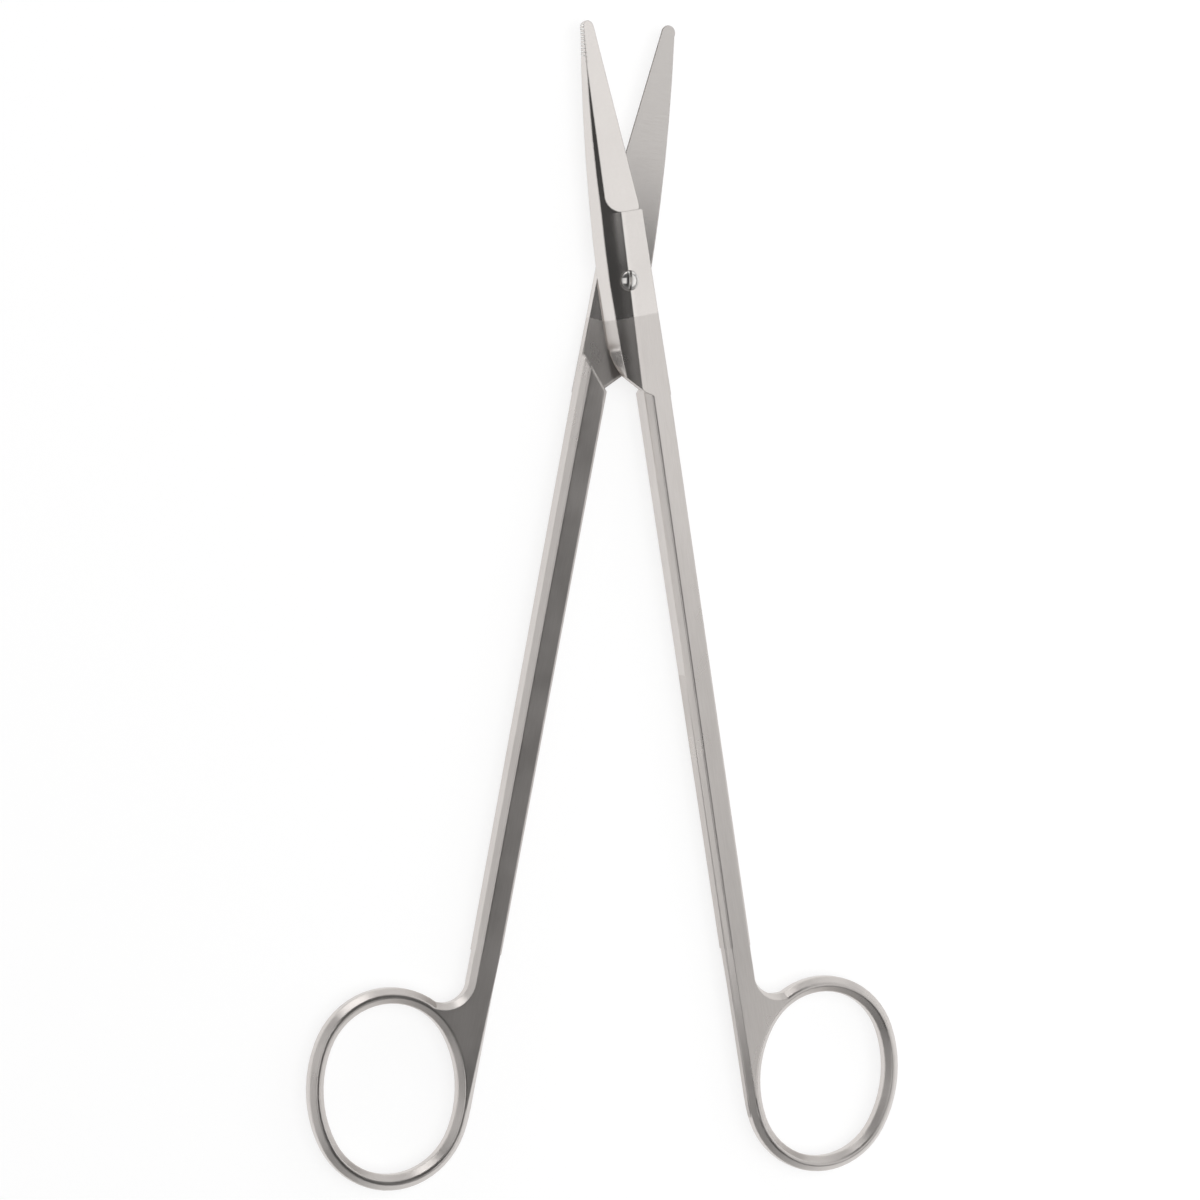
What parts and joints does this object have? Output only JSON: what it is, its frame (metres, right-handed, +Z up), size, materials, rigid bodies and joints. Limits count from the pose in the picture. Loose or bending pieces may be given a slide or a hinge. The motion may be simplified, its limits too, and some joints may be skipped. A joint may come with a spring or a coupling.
{
  "type": "suture scissors",
  "caption": "Long ring-handled suture scissors with slender straight blades, a screwed lap joint, ridged shanks and oval finger rings, shown open.",
  "frame": {"origin": "middle of the bounding box, at the surface that the scissors lie on, with the halves open as at rest", "axes": "+Y along the middle line towards the blade tips, +X towards the front half's ring, +Z up along the pivot axis, out of the front half"},
  "size_m": [0.11, 0.1986, 0.0065],
  "materials": {
    "forging": "satin steel, finely brushed, with a polished joint and blades",
    "screw": "polished steel"
  },
  "bodies": {
    "rear": {"rear_half": "forging", "pivot_screw": "screw"},
    "front": {"front_half": "forging"}
  },
  "joints": [
    {"name": "blade_pivot", "type": "hinge", "parent": "rear", "child": "front", "pos_m": [0, 0.05521, 0.00321], "axis": [0, 0, 1], "range_deg": [-17, 110]}
  ]
}
